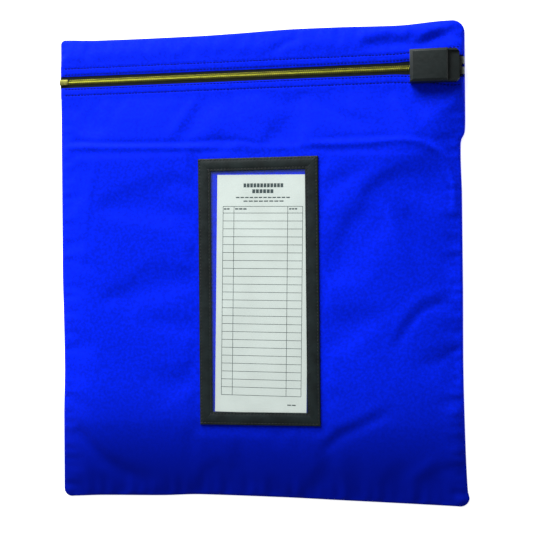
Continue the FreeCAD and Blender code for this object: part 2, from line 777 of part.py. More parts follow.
doc.recompute()
for item in doc.Objects:
    if "Invalid" in item.State or "Error" in item.State:
        raise RuntimeError(f"{item.Label} failed: {item.State}")
for item in sub_parts:
    if item.Shape.isNull() or not item.Shape.isValid():
        raise RuntimeError(f"{item.Label} has no valid shape")

os.makedirs("parts", exist_ok=True)
for item in sub_parts:
    item.Shape.exportStep(os.path.join("parts", f"{item.Label}.step"))
    box = item.Shape.BoundBox
    print(f"{item.Label:28} {len(item.Shape.Solids):4} solids {item.Shape.Volume:12.1f} mm3 "
          f"x {box.XMin:.1f}..{box.XMax:.1f} y {box.YMin:.1f}..{box.YMax:.1f} "
          f"z {box.ZMin:.2f}..{box.ZMax:.2f}")
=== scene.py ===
import math

import bmesh
import bpy
import numpy as np
from mathutils import Matrix, Vector


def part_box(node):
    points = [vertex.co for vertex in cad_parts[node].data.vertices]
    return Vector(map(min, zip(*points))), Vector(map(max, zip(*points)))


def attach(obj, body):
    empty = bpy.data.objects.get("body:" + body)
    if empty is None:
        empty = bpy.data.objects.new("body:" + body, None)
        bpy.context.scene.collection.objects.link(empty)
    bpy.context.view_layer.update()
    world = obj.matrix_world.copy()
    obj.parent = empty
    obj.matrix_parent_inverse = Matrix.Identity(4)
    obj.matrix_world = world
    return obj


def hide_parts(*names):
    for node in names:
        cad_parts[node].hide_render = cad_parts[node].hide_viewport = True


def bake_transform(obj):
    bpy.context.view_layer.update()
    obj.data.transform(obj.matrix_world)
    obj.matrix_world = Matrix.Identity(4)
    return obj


# Visual model of a locking zippered deposit bag. Shapes are worked out in millimetres and
# written to the meshes in metres.
MM = 0.001

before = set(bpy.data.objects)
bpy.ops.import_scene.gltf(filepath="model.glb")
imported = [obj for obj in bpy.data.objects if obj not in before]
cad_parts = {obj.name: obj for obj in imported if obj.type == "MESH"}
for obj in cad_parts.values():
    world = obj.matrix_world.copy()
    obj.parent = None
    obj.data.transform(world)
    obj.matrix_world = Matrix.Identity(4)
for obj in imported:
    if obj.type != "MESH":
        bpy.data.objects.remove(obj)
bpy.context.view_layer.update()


def node_box(node):
    """Lowest and highest corner of a CAD node, in millimetres."""
    low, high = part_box(node)
    return np.array(low) / MM, np.array(high) / MM


# Places taken from the frame.
BACK_LOW, BACK_HIGH = node_box("back_panel")
HALF_WIDTH = BACK_HIGH[0]
BOTTOM = BACK_LOW[1]
CLOTH = BACK_HIGH[2]
STOP_LOW, STOP_HIGH = node_box("zipper_end_stop")
ZIP_Y = (STOP_LOW[1] + STOP_HIGH[1]) / 2
ZIP_Z = (STOP_LOW[2] + STOP_HIGH[2]) / 2
FRONT_HIGH = node_box("front_panel")[1]
HEADER_LOW, HEADER_HIGH = node_box("header_mid")
CLOTH_SETBACK = ZIP_Y - FRONT_HIGH[1]
BAND_TOP = HEADER_HIGH[2]
FOLD_Y = HEADER_HIGH[1]
PLATEAU = FRONT_HIGH[2] - 0.1
MOUTH_HALF = HEADER_HIGH[0]
TAPE_LOW, TAPE_HIGH = node_box("zipper_tape_lower")
WINDOW_LEFT = node_box("window_trim_left")[0][0]
WINDOW_RIGHT = node_box("window_trim_right")[1][0]
WINDOW_LOW = node_box("window_trim_bottom")[0][1]
WINDOW_HIGH = node_box("window_trim_top")[1][1]
TRIM_WIDTH = node_box("window_trim_left")[1][0] - WINDOW_LEFT
TRIM_TOP = node_box("window_trim_left")[1][2]
PANE_LOW, PANE_HIGH = node_box("window_pane")
CARD_LOW, CARD_HIGH = node_box("card")
STITCH_REACH = node_box("stitching_zipper_lower")[1][0] + 5


# -------------------------- curves and fields

UNDULATION_WAVES = 9
LINE_STEP = 3.0
# A crease dies away over this length at each end, and starts at this share of it.
CREASE_FADE, CREASE_BLUNT = 22.0, 0.3


def hermite(place, value, slope, at):
    """A smooth curve through values at rising places, with a given slope at each of them."""
    n = np.clip(np.searchsorted(place, at) - 1, 0, len(place) - 2)
    gap = place[n + 1] - place[n]
    t = (at - place[n]) / gap
    rise = t * t * (3 - 2 * t)
    return (value[n] * (1 - rise) + value[n + 1] * rise
            + gap * slope[n] * t * (1 - t) ** 2 - gap * slope[n + 1] * t * t * (1 - t))


def through(stations, at):
    """A smooth curve through (place, value) stations that never overshoots them."""
    place, value = np.array(stations, float).T
    rates = np.diff(value) / np.diff(place)
    slope = np.zeros(len(place))
    product = rates[:-1] * rates[1:]
    total = np.where(product > 0, rates[:-1] + rates[1:], 1)
    slope[1:-1] = np.where(product > 0, 2 * product / total, 0)
    return hermite(place, value, slope, np.clip(at, place[0], place[-1]))


def ease(low, high, at):
    """0 below low, 1 above high and smooth between them."""
    t = np.clip((at - low) / (high - low), 0, 1)
    return t * t * (3 - 2 * t)


def swell(distance, width, power):
    """Rises from 0 at an edge to 1 at width away from it, steepest at the edge."""
    return 1 - (1 - np.clip(distance / width, 0, 1)) ** power


def ripple(at, wavelength, seed):
    """An irregular wave between about -1 and 1."""
    random = np.random.default_rng(seed)
    total = 0
    for factor in (0.53, 0.8, 1.0, 1.37, 1.9):
        total = total + np.sin(2 * np.pi * at * factor / wavelength + random.uniform(0, 6.28))
    return total / 3


def undulation(x, y, wavelength, seed):
    """Soft irregular hills and hollows between about -1 and 1."""
    random = np.random.default_rng(seed)
    total = 0
    for _ in range(UNDULATION_WAVES):
        turn = random.uniform(0, np.pi)
        size = wavelength * random.uniform(0.7, 1.6)
        along = x * np.cos(turn) + y * np.sin(turn)
        total = total + np.sin(2 * np.pi * along / size + random.uniform(0, 6.28))
    return total / UNDULATION_WAVES ** 0.5 / 1.5


def lengths_along(points):
    """How far along a line each of its points lies."""
    return np.r_[0, np.cumsum(np.linalg.norm(np.diff(points, axis=0), axis=1))]


def resample(points, shares):
    """Points at given shares of the length of a line."""
    lengths = lengths_along(points)
    at = np.asarray(shares) * lengths[-1]
    return np.stack([np.interp(at, lengths, column) for column in points.T], axis=1)


def smooth_line(points):
    """Points close together along a smooth line through a few chosen ones."""
    points = np.array(points, float)
    lengths = lengths_along(points)
    at = np.linspace(0, lengths[-1], max(3, int(lengths[-1] / LINE_STEP)))
    if len(points) == 2:
        return resample(points, at / lengths[-1])
    return np.stack([hermite(lengths, column, np.gradient(column, lengths), at)
                     for column in points.T], axis=1)


def crease(x, y, points, width, height):
    """A ridge (height above 0) or valley (below 0) along a line, dying away at both its ends."""
    line = smooth_line(points)
    nearest = np.full(np.shape(x), np.inf)
    place = np.zeros(np.shape(x))
    done = 0.0
    for start, end in zip(line[:-1], line[1:]):
        run = end - start
        length = float(np.hypot(*run))
        t = np.clip(((x - start[0]) * run[0] + (y - start[1]) * run[1]) / length ** 2, 0, 1)
        away = np.hypot(x - start[0] - t * run[0], y - start[1] - t * run[1])
        closer = away < nearest
        nearest = np.where(closer, away, nearest)
        place = np.where(closer, done + t * length, place)
        done += length
    taper = (ease(0, CREASE_FADE, place + CREASE_BLUNT * CREASE_FADE)
             * ease(0, CREASE_FADE, done - place + CREASE_BLUNT * CREASE_FADE))
    return height * taper * np.exp(-(nearest / width) ** 2)


# -------------------------- the bag's outline

# How far each edge is drawn in from a straight line, by place along it.
LEFT_SAG = [(-230, 0), (-150, 0.3), (-100, 1.5), (-55, 1.0), (0, 0), (230, 0)]
RIGHT_SAG = [(-230, 0), (-212, 1.8), (-172, 3.3), (-94, 4.5), (-16, 4.0), (63, 4.0),
             (100, 4.8), (114, 4.6), (123, 0.8), (135, 0.2), (230, 0)]
TOP_SAG = [(-200, 1.2), (-160, 2.9), (-98, 3.4), (-59, 3.4), (-20, 2.7), (39, 1.2),
           (78, 1.5), (137, 2.7), (182, 0.3), (200, 0.2)]
BOTTOM_SAG = [(-200, 0), (-160, 1.8), (-98, 3.2), (-59, 5.1), (20, 4.4), (78, 3.0),
              (137, 1.6), (175, 0.6), (200, 0)]
CORNERS = {("left", "top"): 5, ("right", "top"): 12, ("right", "bottom"): 9, ("left", "bottom"): 8}
EDGE_INSET = 0.3


def left_x(y):
    return -HALF_WIDTH + EDGE_INSET + through(LEFT_SAG, y)


def right_x(y):
    return HALF_WIDTH - EDGE_INSET - through(RIGHT_SAG, y)


def top_y(x):
    return FOLD_Y - through(TOP_SAG, x)


def bottom_y(x):
    return BOTTOM + EDGE_INSET + through(BOTTOM_SAG, x)


EDGES = {"left": left_x, "right": right_x, "bottom": bottom_y, "top": top_y}
INWARD = {"left": 1, "right": -1, "bottom": 1, "top": -1}


def corner_centre(side, end):
    """The middle of the arc that rounds one corner of the outline, and its radius."""
    radius = CORNERS[side, end]
    across, up = -INWARD[side] * HALF_WIDTH, BOTTOM if end == "bottom" else FOLD_Y
    return (EDGES[side](up) + INWARD[side] * radius,
            EDGES[end](across) + INWARD[end] * radius, radius)


def edge_distance(x, y):
    """How far inside the bag's rounded outline a point lies."""
    inside = np.minimum.reduce([x - left_x(y), right_x(y) - x, y - bottom_y(x), top_y(x) - y])
    for side, end in CORNERS:
        cx, cy, radius = corner_centre(side, end)
        beyond_x, beyond_y = INWARD[side] * (cx - x), INWARD[end] * (cy - y)
        in_corner = (beyond_x > 0) & (beyond_y > 0)
        inside = np.where(in_corner, radius - np.hypot(beyond_x, beyond_y), inside)
    return np.maximum(inside, 0)


def corner_arc(side, end, first, last):
    cx, cy, radius = corner_centre(side, end)
    turn = np.radians(np.linspace(first, last, 9))
    return np.stack([cx + radius * np.cos(turn), cy + radius * np.sin(turn)], axis=1)


def end_edge(end):
    """The outline's lower or upper edge, between the middles of its corners."""
    middle, outward = (270, 45) if end == "bottom" else (90, -45)
    left = corner_arc("left", end, middle - outward, middle)
    right = corner_arc("right", end, middle, middle + outward)
    x = np.linspace(left[-1, 0], right[0, 0], 160)[1:-1]
    return np.concatenate([left, np.stack([x, EDGES[end](x)], axis=1), right])


def side_edge(side, low=None, high=None):
    """One side of the outline, from its lower corner, or low, to its upper corner, or high."""
    lower_turn, upper_turn = ((225, 180), (180, 135)) if side == "left" else ((315, 360), (0, 45))
    lower = [corner_arc(side, "bottom", *lower_turn)] if low is None else []
    upper = [corner_arc(side, "top", *upper_turn)] if high is None else []
    y = np.linspace(lower[0][-1, 1] if lower else low, upper[0][0, 1] if upper else high, 200)
    y = y[len(lower):]
    straight = np.stack([EDGES[side](y), y], axis=1)
    return np.concatenate(lower + [straight] + [arc[1:] for arc in upper])


ROUNDED_EDGE = (0.35, 0.9, 1.7, 2.8)
STITCHED_EDGE = (0.3, 0.6, 0.9, 1.2, 1.5, 1.8, 2.1, 2.5, 3, 4, 5.5, 6.5, 6.9, 7.3, 7.7, 8.1, 8.5, 9)


def shares_of(length, step, fine_low=(), fine_high=()):
    """Even shares of a length, with finer ones close to an edge that is rounded or stitched."""
    shares = np.linspace(0, 1, int(round(length / step)) + 1)
    if fine_low:
        near = np.array(fine_low) / length
        shares = np.r_[0, near, shares[shares > near[-1] + 0.4 * step / length]]
    if fine_high:
        near = np.array(fine_high) / length
        shares = np.r_[shares[shares < 1 - near[-1] - 0.4 * step / length], 1 - near[::-1], 1]
    return shares


def patch(low, high, left, right, across, up):
    """A net of points inside four edge lines (a Coons patch)."""
    low, high = resample(low, across)[None], resample(high, across)[None]
    left, right = resample(left, up)[:, None], resample(right, up)[:, None]
    u, v = across[None, :, None], up[:, None, None]
    corners = ((1 - u) * (1 - v) * low[:, :1] + u * (1 - v) * low[:, -1:]
               + (1 - u) * v * high[:, :1] + u * v * high[:, -1:])
    return (1 - v) * low + v * high + (1 - u) * left + u * right - corners


# -------------------------- height of the front face

LEVELS = [(-235, PLATEAU), (104, PLATEAU), (112, 12.8), (122, 12.2), (143, 10.3), (166, BAND_TOP),
          (235, BAND_TOP)]
LEFT_ROLL = [(-235, 62), (90, 54), (140, 26), (166, 4.5), (204, 4.5), (216, 16), (235, 18)]
RIGHT_ROLL = [(-235, 90), (60, 100), (130, 40), (166, 4.5), (204, 4.5), (216, 16), (235, 18)]
FOOT_ROLL, HEAD_ROLL = 76, 26
SEAM_LEVEL = CLOTH + 0.1
EDGE_RISE = [(-235, 1.0), (-110, 2.6), (235, 2.6)]
ROUND_OFF = 2.6
CARD_PATH_HALF = (CARD_HIGH[0] - CARD_LOW[0]) / 2 + 1
STITCH_ROWS = (6.7, 12.9)
GROOVE_HALF, GROOVE_DEEP = 0.8, 0.35
# The cloth is held flat beside the chain and beside the window, and is free a little way off.
TAUT_HALF, TAUT_FADE, WINDOW_CALM = 15, 7, 14
HILL_HEIGHT, HILL_LENGTH = 0.25, 60
ZIP_GATHER_PLACE, ZIP_GATHER_HEIGHT = 9, 0.35

# Slack in the cloth, from a simulation. Cells and heights are in millimetres, and shrink_min
# is the share by which the cloth is too large.
SIM_CELL = 5.0
SIM_FRAMES = 26
SIM_SETTINGS = {"quality": 6, "mass": 0.2, "tension_stiffness": 20, "compression_stiffness": 20,
                "bending_stiffness": 1.5, "air_damping": 3, "shrink_min": -0.006}
SLACK_LIMIT = 1.2
slack_field = {}

# Creases: line through the points, half-width and height, all in millimetres.
CREASES = [
    # the sharp fold across the bag above the window, which turns down the right side
    ([(-197, 120), (-186, 119), (-166, 118), (-77, 115), (0, 112), (50, 111)], 3.0, 1.25),
    ([(-190, 125), (-166, 123), (-77, 120), (-5, 118), (10, 113)], 2.6, -0.9),
    ([(45, 114), (97, 114), (160, 112), (175, 104), (186, 85), (189, 45)], 3.2, 1.5),
    ([(45, 107), (97, 107), (155, 105)], 3.0, -0.7),
    ([(60, 120), (110, 120), (168, 118)], 3.0, -0.5),
    # from the lock down to that fold
    ([(132, 160), (147, 134), (163, 113), (175, 104)], 4.5, 1.0),
    # right side
    ([(140, 52), (156, 26), (174, 1), (187, -34)], 9.0, -1.6),
    ([(133, -81), (145, -59), (161, -43), (186, -37)], 5.0, -1.2),
    ([(128, -70), (140, -50), (158, -33), (180, -27)], 6.0, 0.7),
    ([(167, -95), (182, -87), (195, -76)], 4.0, -0.9),
    ([(125, 59), (134, 27), (146, -5)], 6.0, 0.8),
    ([(109, 56), (89, 21), (80, -11)], 8.0, -0.5),
    ([(62, -180), (78, -165), (100, -154), (126, -141)], 5.5, -1.3),
    ([(58, -171), (74, -156), (96, -145), (120, -132)], 6.0, 0.6),
    # left side
    ([(-159, 105), (-167, 65), (-172, 25), (-174, -2)], 3.5, 0.35),
    ([(-153, 103), (-161, 65), (-166, 25)], 3.5, -0.25),
    ([(-184, 8), (-167, 2), (-153, -12)], 7.0, -0.4),
    ([(-118, 44), (-122, -15), (-133, -65)], 9.0, -0.2),
    # foot of the bag
    ([(190, -128), (191, -160), (190, -196)], 12.0, 1.8),
    ([(-185, -158), (-155, -191), (-103, -213)], 9.0, -1.2),
    ([(71, -183), (87, -208)], 6.0, 0.8),
    ([(144, -206), (172, -181)], 6.0, 0.8),
    # between the fold and the zipper
    ([(-87, 121), (-73, 142), (-58, 163)], 5.0, 0.5),
    ([(59, 155), (84, 142), (113, 130)], 5.0, -0.7),
    ([(88, 163), (91, 150)], 4.0, -0.5),
    ([(-138, 164), (-145, 134)], 5.0, -0.35),
    # header strip
    ([(95, 218), (130, 220), (160, 222), (188, 223)], 7.0, 1.6),
    ([(100, 206), (130, 206), (160, 207), (190, 210)], 8.0, -2.0),
    ([(14, 203), (33, 215), (48, 218)], 4.5, -0.8),
    ([(-64, 222), (-63, 206)], 4.0, -0.6),
    ([(-165, 221), (-172, 213), (-158, 201)], 4.5, -0.8),
    ([(154, 203), (173, 212), (193, 220)], 4.0, -1.2),
    ([(150, 209), (166, 218), (180, 224)], 4.0, 0.7),
    ([(126, 221), (139, 207)], 4.0, -0.6),
    ([(79, 221), (82, 205)], 4.0, -0.5),
    ([(-120, 222), (-112, 206)], 4.0, 0.5),
]


def flare(x):
    """How far the cloth edges beside the chain are pushed apart, by the housing and the hasp."""
    return 0.5 + 0.8 * ease(132, 150, x) + 3.6 * ease(160, 190, x)


def outside_window(x, y, margin):
    """0 on the window and its trim, 1 from margin away."""
    beyond_x = np.maximum(WINDOW_LEFT - x, x - WINDOW_RIGHT)
    beyond_y = np.maximum(WINDOW_LOW - y, y - WINDOW_HIGH)
    away = np.hypot(np.maximum(beyond_x, 0), np.maximum(beyond_y, 0))
    return ease(0, margin, away)


def creases(x, y):
    total = np.zeros(np.shape(x))
    for points, width, height in CREASES:
        total = total + crease(x, y, points, width, height)
    return total


def grooves(x, y):
    """The two rows of stitching on each side of the chain pull the cloth down."""
    from_zip = np.abs(y - ZIP_Y) - flare(x)
    nearest_row = np.minimum.reduce([np.abs(from_zip - row) for row in STITCH_ROWS])
    return GROOVE_DEEP * np.exp(-(nearest_row / GROOVE_HALF) ** 2) * (np.abs(x) < STITCH_REACH)


def gathers(away, along, width, wavelength, height, seed):
    """Small waves along an edge, dying out away from it."""
    return np.exp(-(away / width) ** 2) * ripple(along, wavelength, seed) * height


def puckers(x, y):
    """Small gathers beside the rows of stitching, and those along the seams and the top fold."""
    from_chain = np.abs(y - ZIP_Y) - CLOTH_SETBACK - ZIP_GATHER_PLACE
    beside_zip = (np.exp(-(from_chain / ZIP_GATHER_PLACE) ** 2)
                  * (0.5 + 0.5 * ripple(x, 11, 3)) * ZIP_GATHER_HEIGHT)
    side = np.minimum(x - left_x(y), right_x(y) - x)
    return beside_zip, (gathers(side, y, 13, 17, 0.55, 5)
                        + gathers(y - bottom_y(x), x, 15, 21, 0.7, 8)
                        + gathers(top_y(x) - y, x, 10, 19, 0.5, 9))


def card_clearance(x, y):
    """The cloth stays under the card wherever the card slides up out of its window."""
    from_card = np.abs(x - (CARD_LOW[0] + CARD_HIGH[0]) / 2)
    beside = ease(CARD_PATH_HALF, CARD_PATH_HALF + 14, from_card)
    return CARD_LOW[2] - 0.1 + 20 * (beside + ease(WINDOW_LOW, WINDOW_LOW - 1, y))


def front_height(x, y):
    """Height of the cloth's outer face over the whole front of the bag."""
    body = (swell(x - left_x(y), through(LEFT_ROLL, y), 2.6)
            * swell(right_x(y) - x, through(RIGHT_ROLL, y), 1.8)
            * swell(y - bottom_y(x), FOOT_ROLL, 1.3) * swell(top_y(x) - y, HEAD_ROLL, 2.6))
    inside = edge_distance(x, y)
    off_band = 1 - np.exp(-(np.maximum(np.abs(y - ZIP_Y) - TAUT_HALF, 0) / TAUT_FADE) ** 2)
    off_window = outside_window(x, y, WINDOW_CALM)
    over_zip, over_seams = puckers(x, y)
    detail = creases(x, y) + HILL_HEIGHT * undulation(x, y, HILL_LENGTH, 2) + slack(x, y)
    detail = detail * off_window * off_band * ease(0, 7, inside)
    detail = detail + over_seams * off_window * ease(0, 4, inside) * off_band
    detail = detail + over_zip * off_window - grooves(x, y)
    rounding = np.sqrt(1 - (1 - np.clip(inside / ROUND_OFF, 0, 1)) ** 2)
    rise = through(EDGE_RISE, y)
    level = through(LEVELS, y) - SEAM_LEVEL - rise
    height = SEAM_LEVEL + rounding * (rise + level * body + detail)
    return np.minimum(height, card_clearance(x, y))


def slack(x, y):
    """Height that the simulated slack adds, read smoothly from its coarse grid."""
    if not slack_field:
        return 0.0
    heights = slack_field["heights"]
    rows, columns = heights.shape
    across, up = (x - slack_field["left"]) / SIM_CELL, (y - slack_field["low"]) / SIM_CELL
    column = np.clip(np.floor(across).astype(int), 1, columns - 3)
    row = np.clip(np.floor(up).astype(int), 1, rows - 3)

    def weights(t):
        t = np.clip(t, 0, 1)
        return ((1 - t) ** 3 / 6, (3 * t ** 3 - 6 * t ** 2 + 4) / 6,
                (-3 * t ** 3 + 3 * t ** 2 + 3 * t + 1) / 6, t ** 3 / 6)

    total = np.zeros(np.shape(x))
    for n, up_share in enumerate(weights(up - row)):
        for m, across_share in enumerate(weights(across - column)):
            total = total + up_share * across_share * heights[row + n - 1, column + m - 1]
    return total


# -------------------------- meshes

def placed(name, data):
    """A new object in the scene."""
    item = bpy.data.objects.new(name, data)
    bpy.context.scene.collection.objects.link(item)
    return item


def mesh_piece(name, points, faces, finish, smooth=True):
    """A mesh object from points in millimetres."""
    mesh = bpy.data.meshes.new(name)
    mesh.from_pydata((np.asarray(points, float) * MM).tolist(), [], faces)
    mesh.materials.append(finish)
    mesh.polygons.foreach_set("use_smooth", [smooth] * len(mesh.polygons))
    mesh.update()
    return placed(name, mesh)


def grid_faces(rows, columns):
    """Quads between the points of a net, row by row."""
    corner = (np.arange(rows - 1)[:, None] * columns + np.arange(columns - 1)).ravel()
    return np.stack([corner, corner + 1, corner + columns + 1, corner + columns], axis=1)


def ring_faces(rings, count):
    """Faces of a closed form made of rings of points, with a cap at each end."""
    faces = []
    for ring in range(rings - 1):
        for n in range(count):
            a, b = ring * count + n, ring * count + (n + 1) % count
            faces.append((a, b, b + count, a + count))
    return faces + [tuple(range(count))[::-1], tuple(range((rings - 1) * count, rings * count))]


def thick_sheet(name, net, thick, finish):
    """A closed sheet: the net of points is its outer face, and its inner face lies behind it."""
    normal = np.cross(np.gradient(net, axis=1), np.gradient(net, axis=0))
    normal /= np.linalg.norm(normal, axis=2, keepdims=True)
    rows, columns = net.shape[:2]
    points = np.concatenate([net.reshape(-1, 3), (net - normal * thick).reshape(-1, 3)])
    outer = grid_faces(rows, columns)
    inner = outer[:, ::-1] + rows * columns
    border = np.concatenate([
        np.arange(columns - 1),
        np.arange(rows - 1) * columns + columns - 1,
        (rows - 1) * columns + np.arange(columns - 1, 0, -1),
        np.arange(rows - 1, 0, -1) * columns,
    ])
    following = np.roll(border, -1)
    rim = np.stack([following, border, border + rows * columns, following + rows * columns], axis=1)
    faces = np.concatenate([outer, inner, rim])
    piece = mesh_piece(name, points, faces.tolist(), finish)
    piece.data.set_sharp_from_angle(angle=math.radians(60))
    return piece


def repeated(name, form, places, finish):
    """Many copies of one small form, each given by its place and its turn about Z."""
    points, faces = form
    points = np.asarray(points, float)
    every, all_faces = [], []
    for n, (x, y, z, turn) in enumerate(places):
        c, s = math.cos(turn), math.sin(turn)
        turned = points @ np.array([[c, s, 0], [-s, c, 0], [0, 0, 1]])
        every.append(turned + (x, y, z))
        all_faces += [tuple(i + n * len(points) for i in face) for face in faces]
    return mesh_piece(name, np.concatenate(every), all_faces, finish)


def bevelled_form(points, faces, width):
    """A closed form with every edge rounded off."""
    bm = bmesh.new()
    corners = [bm.verts.new(p) for p in points]
    for face in faces:
        bm.faces.new([corners[i] for i in face])
    bmesh.ops.recalc_face_normals(bm, faces=bm.faces)
    bmesh.ops.bevel(bm, geom=list(bm.edges), offset=width, segments=2, profile=0.6,
                    affect="EDGES", clamp_overlap=True)
    bm.verts.index_update()
    result = ([tuple(v.co) for v in bm.verts], [tuple(v.index for v in f.verts) for f in bm.faces])
    bm.free()
    return result


def prism(profile, low, high):
    """Corners and faces of a YZ profile drawn out along X."""
    return [(x, y, z) for x in (low, high) for y, z in profile], ring_faces(2, len(profile))


def stitch_form(width, height):
    """One stitch along X: a strand that dips into the cloth at both ends."""
    sides, rings = 8, 7
    points = []
    for ring in range(rings):
        t = ring / (rings - 1) * 2 - 1
        fat = math.sqrt(max(0.12, 1 - abs(t) ** 3))
        for side in range(sides):
            turn = 2 * math.pi * side / sides
            points.append((t * STITCH_LENGTH / 2, fat * width / 2 * math.cos(turn),
                           fat * height / 2 * math.sin(turn) - 0.35 * height * t ** 4))
    return points, ring_faces(rings, sides)


def round_off(bm, edges, width, segments):
    bmesh.ops.bevel(bm, geom=edges, offset=width * MM, segments=segments, profile=0.5,
                    affect="EDGES", clamp_overlap=True)


def refined(node, body, finish, width, shaped=None):
    """A copy of a rigid CAD node with its sharp edges rounded, shown in its place."""
    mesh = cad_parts[node].data.copy()
    bm = bmesh.new()
    bm.from_mesh(mesh)
    bmesh.ops.remove_doubles(bm, verts=bm.verts, dist=1e-6)
    bmesh.ops.dissolve_limit(bm, angle_limit=math.radians(1), verts=bm.verts, edges=bm.edges)
    if shaped is not None:
        shaped(bm)
    sharp = [e for e in bm.edges if e.is_manifold and e.calc_face_angle() > math.radians(28)]
    round_off(bm, sharp, width, 3)
    bm.to_mesh(mesh)
    bm.free()
    mesh.materials.clear()
    mesh.materials.append(finish)
    mesh.polygons.foreach_set("use_smooth", [True] * len(mesh.polygons))
    mesh.set_sharp_from_angle(angle=math.radians(35))
    piece = placed(f"{node}_finished", mesh)
    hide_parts(node)
    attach(piece, body)
    return piece


# -------------------------- cloth simulation

def simulate_slack():
    """Lets slightly oversized cloth buckle between its seams and keeps how far it moves."""
    x, y = np.meshgrid(np.arange(-HALF_WIDTH, HALF_WIDTH + 1, SIM_CELL),
                       np.arange(BOTTOM, FOLD_Y + 1, SIM_CELL))
    start = front_height(x, y)
    points = np.dstack([x, y, start]).reshape(-1, 3)
    sheet = mesh_piece("slack_cloth", points, grid_faces(*x.shape).tolist(), binding_tape)
    held = ((edge_distance(x, y) < SIM_CELL) | (np.abs(y - ZIP_Y) < TAUT_HALF)
            | (outside_window(x, y, 1) == 0)).ravel()
    sheet.vertex_groups.new(name="held").add(np.nonzero(held)[0].tolist(), 1.0, "ADD")
    cloth = sheet.modifiers.new("cloth", "CLOTH")
    for setting, value in SIM_SETTINGS.items():
        setattr(cloth.settings, setting, value)
    cloth.settings.vertex_group_mass = "held"
    cloth.settings.effector_weights.gravity = 0
    cloth.collision_settings.use_collision = False
    cloth.point_cache.frame_start, cloth.point_cache.frame_end = 1, SIM_FRAMES
    scene = bpy.context.scene
    for step in range(1, SIM_FRAMES + 1):
        scene.frame_set(step)
    moved = sheet.evaluated_get(bpy.context.evaluated_depsgraph_get()).data
    after = np.empty(points.size)
    moved.vertices.foreach_get("co", after)
    after = after.reshape(*x.shape, 3)[..., 2] / MM
    scene.frame_set(1)
    bpy.data.objects.remove(sheet, do_unlink=True)
    slack_field.update(left=-HALF_WIDTH, low=BOTTOM,
                       heights=np.clip(after - start, -SLACK_LIMIT, SLACK_LIMIT))


# -------------------------- materials

# A wave texture's own scale: its phase turns by this much in one unit.
WAVE_TURN = 20


def set_inputs(node, **values):
    """Sets a node's inputs. In their names here, an underscore stands for a space."""
    for name, value in values.items():
        node.inputs[name.replace("_", " ")].default_value = value


def finish_of(name, colour, roughness, mottle, bumps=(), metallic=0.0, specular=0.5, alpha=1.0,
              painted_shade=None):
    """A procedural material. Sizes are in millimetres. mottle is (share, size), bumps are
    (kind, size, depth), and the last argument is (low y, high y, brightness at low y): painted
    shade that darkens the colour towards low y."""
    material = bpy.data.materials.new(name)
    material.use_nodes = True
    nodes, links = material.node_tree.nodes, material.node_tree.links
    shader = nodes["Principled BSDF"]
    set_inputs(shader, Metallic=metallic, Specular_IOR_Level=specular, Alpha=alpha)
    place = nodes.new("ShaderNodeTexCoord").outputs["Object"]

    def noise(size, detail=3.0):
        texture = nodes.new("ShaderNodeTexNoise")
        set_inputs(texture, Scale=1 / (size * MM), Detail=detail)
        links.new(place, texture.inputs["Vector"])
        return texture.outputs["Fac"]

    def spread(factor, low, high, first=0.35, last=0.65, kind="LINEAR"):
        """The factor's range from first to last, laid out from low to high."""
        ramp = nodes.new("ShaderNodeMapRange")
        ramp.interpolation_type = kind
        set_inputs(ramp, From_Min=first, From_Max=last, To_Min=low, To_Max=high)
        links.new(factor, ramp.inputs["Value"])
        return ramp.outputs["Result"]

    def blended(factor, first, second):
        mix = nodes.new("ShaderNodeMix")
        mix.data_type = "RGBA"
        for socket, value in ((mix.inputs[6], first), (mix.inputs[7], second)):
            if isinstance(value, tuple):
                socket.default_value = (*value, 1)
            else:
                links.new(value, socket)
        links.new(factor, mix.inputs[0])
        return mix.outputs[2]

    share, mottle_size = mottle
    dark = tuple(c * (1 - share) for c in colour)
    light = tuple(min(1, c * (1 + share)) for c in colour)
    tint = blended(spread(noise(mottle_size), 0, 1), dark, light)
    # Painted shade: the colour is darkened smoothly towards low y, in place of light falling off.
    if painted_shade is not None:
        low, high, least = painted_shade
        split = nodes.new("ShaderNodeSeparateXYZ")
        links.new(place, split.inputs["Vector"])
        unshaded = spread(split.outputs["Y"], 0, 1, low * MM, high * MM, "SMOOTHSTEP")
        tint = blended(unshaded, tuple(c * least for c in colour), tint)
    links.new(tint, shader.inputs["Base Color"])
    links.new(spread(noise(mottle_size / 3), roughness * 0.85, min(1, roughness * 1.15)),
              shader.inputs["Roughness"])

    target = shader.inputs["Normal"]
    for kind, size, depth in reversed(bumps):
        if kind == "noise":
            height = noise(size, 2.0)
        else:
            texture = nodes.new("ShaderNodeTexWave")
            texture.bands_direction = kind
            set_inputs(texture, Scale=2 * math.pi / WAVE_TURN / (size * MM))
            links.new(place, texture.inputs["Vector"])
            height = texture.outputs["Fac"]
        bump = nodes.new("ShaderNodeBump")
        set_inputs(bump, Distance=depth * MM, Strength=0.8)
        links.new(height, bump.inputs["Height"])
        links.new(bump.outputs["Normal"], target)
        target = bump.inputs["Normal"]
    return material


NYLON_BLUE = (0.0006, 0.0155, 0.80)
WEAVE = 0.7
